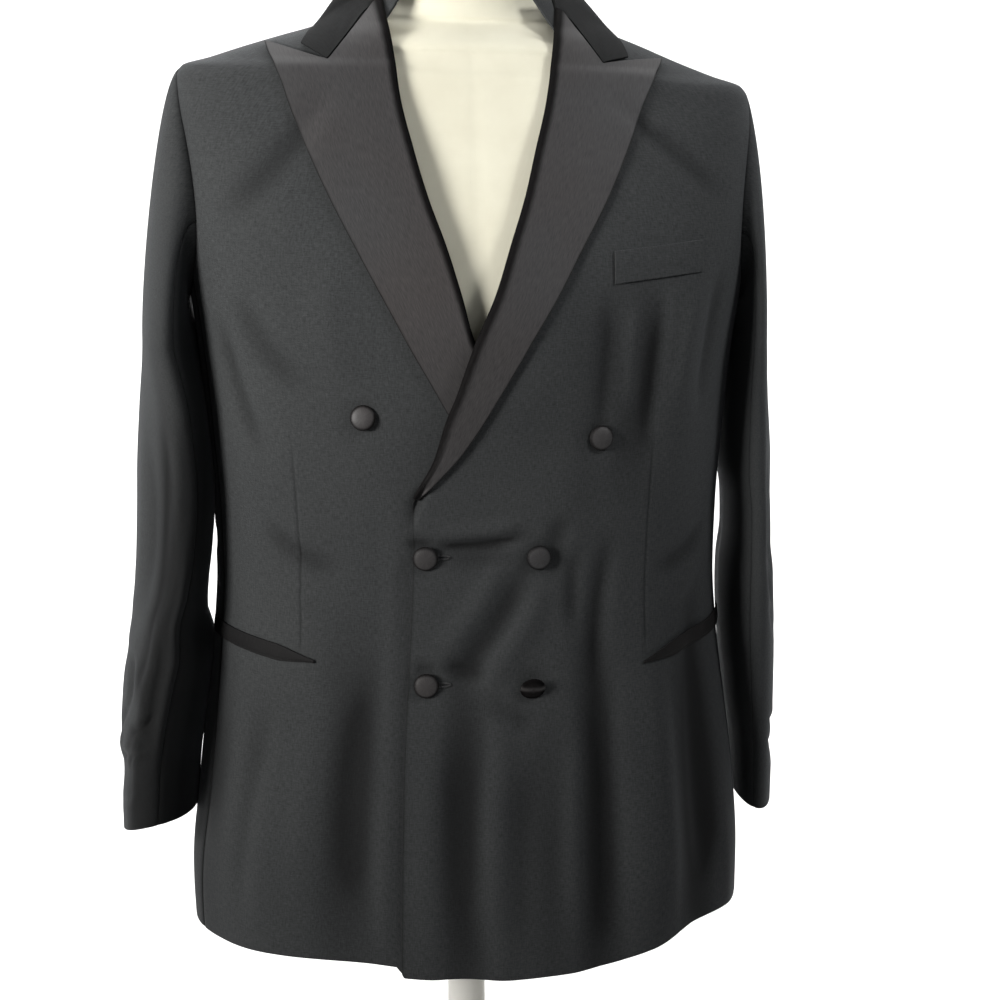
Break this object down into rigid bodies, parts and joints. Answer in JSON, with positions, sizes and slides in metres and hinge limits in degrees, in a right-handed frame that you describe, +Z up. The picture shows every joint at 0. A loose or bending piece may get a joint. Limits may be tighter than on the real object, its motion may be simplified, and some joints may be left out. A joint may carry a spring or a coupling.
{
  "type": "tuxedo jacket on a limbless dress form",
  "caption": "Double-breasted peak-lapel tuxedo jacket with satin facings, shown hollow-sleeved on a limbless dress form with a pole and round base.",
  "frame": {"origin": "centre of the round base plate's underside, on the floor", "axes": "+Z up, -Y out of the jacket's front, +X towards the wearer's left"},
  "size_m": [0.56, 0.3225, 1.0072],
  "materials": {
    "wool": "fine black worsted wool",
    "satin": "dull black satin facing",
    "jersey": "cream cotton jersey cover",
    "painted_metal": "off-white powder coat"
  },
  "bodies": {
    "root": {"front_left": "wool", "front_right": "wool", "side_left": "wool", "side_right": "wool", "back_left": "wool", "back_right": "wool", "top_sleeve_left": "wool", "top_sleeve_right": "wool", "under_sleeve_left": "wool", "under_sleeve_right": "wool", "collar": "wool", "breast_welt": "wool", "lapel_left": "satin", "lapel_right": "satin", "pocket_jet_left": "satin", "pocket_jet_right": "satin", "button_upper_right": "satin", "button_upper_left": "satin", "button_middle_right": "satin", "button_middle_left": "satin", "button_lower_right": "satin", "button_lower_left": "satin", "form_torso": "jersey", "form_neck_cap": "jersey", "stand_pole": "painted_metal", "stand_base": "painted_metal"}
  },
  "joints": []
}
